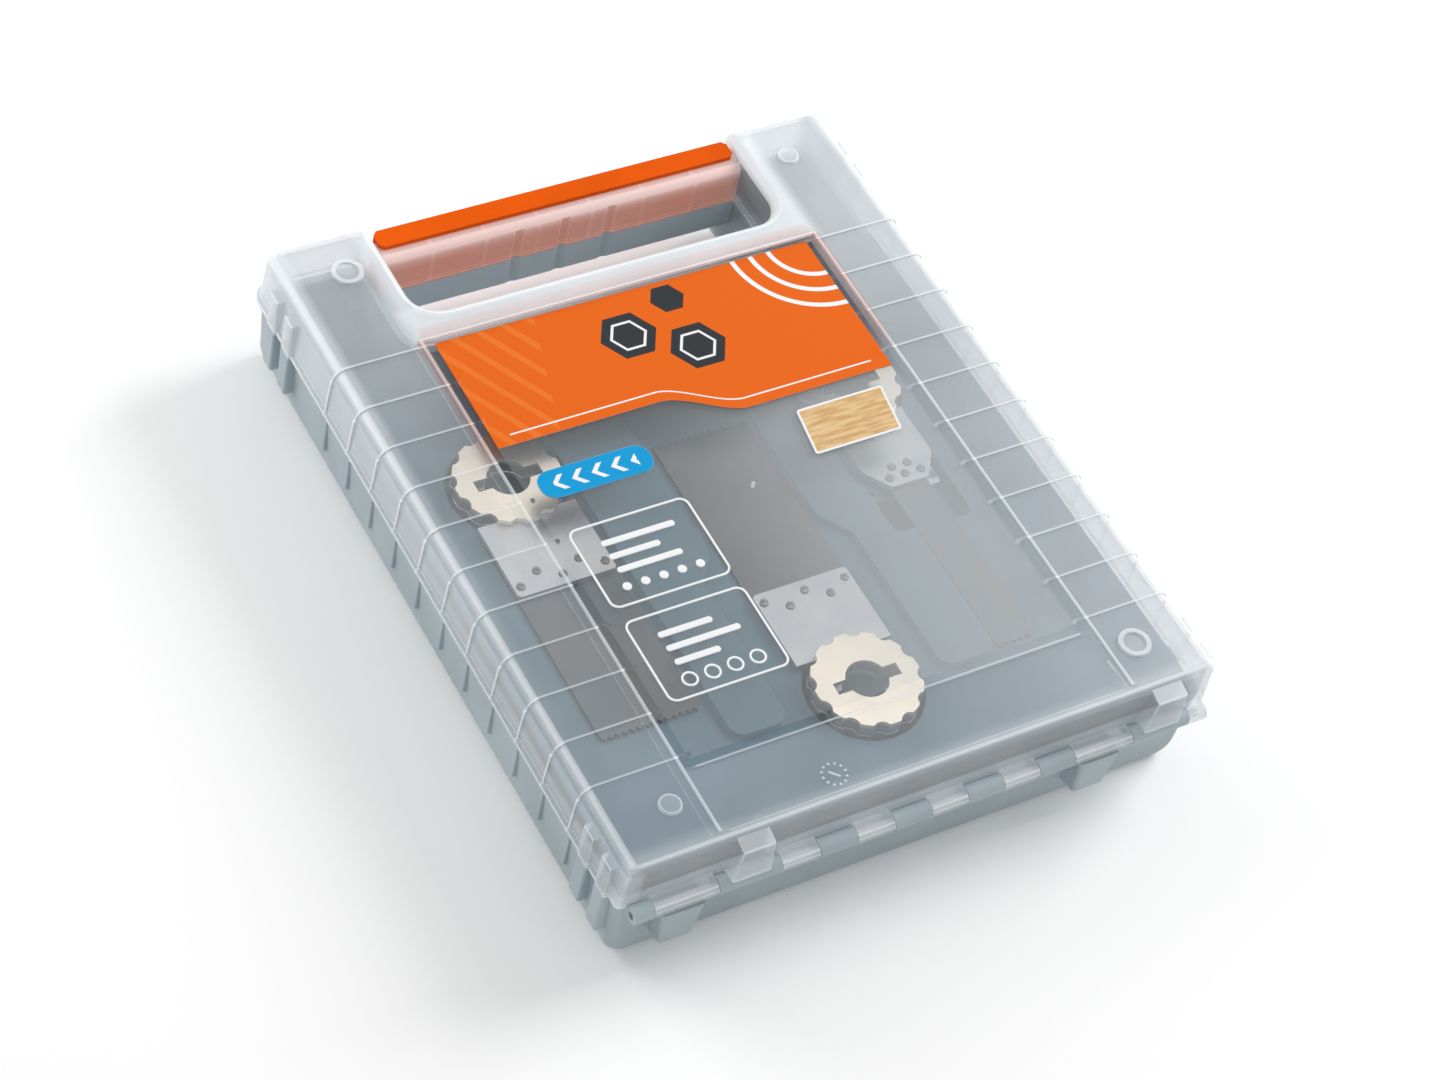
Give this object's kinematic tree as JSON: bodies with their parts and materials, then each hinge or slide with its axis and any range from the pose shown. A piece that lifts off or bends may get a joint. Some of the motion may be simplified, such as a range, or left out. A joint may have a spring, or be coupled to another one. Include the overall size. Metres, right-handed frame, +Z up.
{
  "type": "saw blade storage case",
  "caption": "Flat hinged plastic case with a clear lid, carrying handle and snap latch, holding oscillating saw blades in a formed tray.",
  "frame": {"origin": "bottom centre of the closed case's bounding box", "axes": "+Z up with the case lying on its base, +Y from the hinge to the handle, X along the hinge"},
  "size_m": [0.2174, 0.2674, 0.0508],
  "materials": {
    "base_grey": "fine satin polypropylene",
    "lid_clear": "translucent frosted polypropylene",
    "latch_orange": "satin moulded orange",
    "pin_steel": "drawn wire",
    "label_film": "printed clear film",
    "tray_grey": "fine leather grain",
    "blade_steel": "dark tempered steel",
    "mount_steel": "bright stamped steel"
  },
  "bodies": {
    "base": {"base_shell": "base_grey", "hinge_pin_left": "pin_steel", "hinge_pin_right": "pin_steel", "latch_pin": "pin_steel", "blade_tray": "tray_grey", "wood_wide_plate": "blade_steel", "wood_wide_mount": "mount_steel", "wood_medium_plate": "blade_steel", "wood_medium_mount": "mount_steel", "metal_wide_plate": "blade_steel", "metal_wide_mount": "mount_steel", "metal_medium_plate": "blade_steel", "metal_medium_mount": "mount_steel", "metal_narrow_plate": "blade_steel", "metal_narrow_mount": "mount_steel", "plunge_short_plate": "blade_steel", "plunge_short_mount": "mount_steel"},
    "lid": {"lid_shell": "lid_clear", "label_card": "label_film"},
    "latch": {"latch_clip": "latch_orange"}
  },
  "joints": [
    {"name": "lid_hinge", "type": "hinge", "parent": "base", "child": "lid", "pos_m": [0, -0.1307, 0.03], "axis": [1, 0, 0], "range_deg": [0, 180]},
    {"name": "latch_hinge", "type": "hinge", "parent": "base", "child": "latch", "pos_m": [0, 0.1289, 0.015], "axis": [-1, 0, 0], "range_deg": [0, 100]}
  ]
}
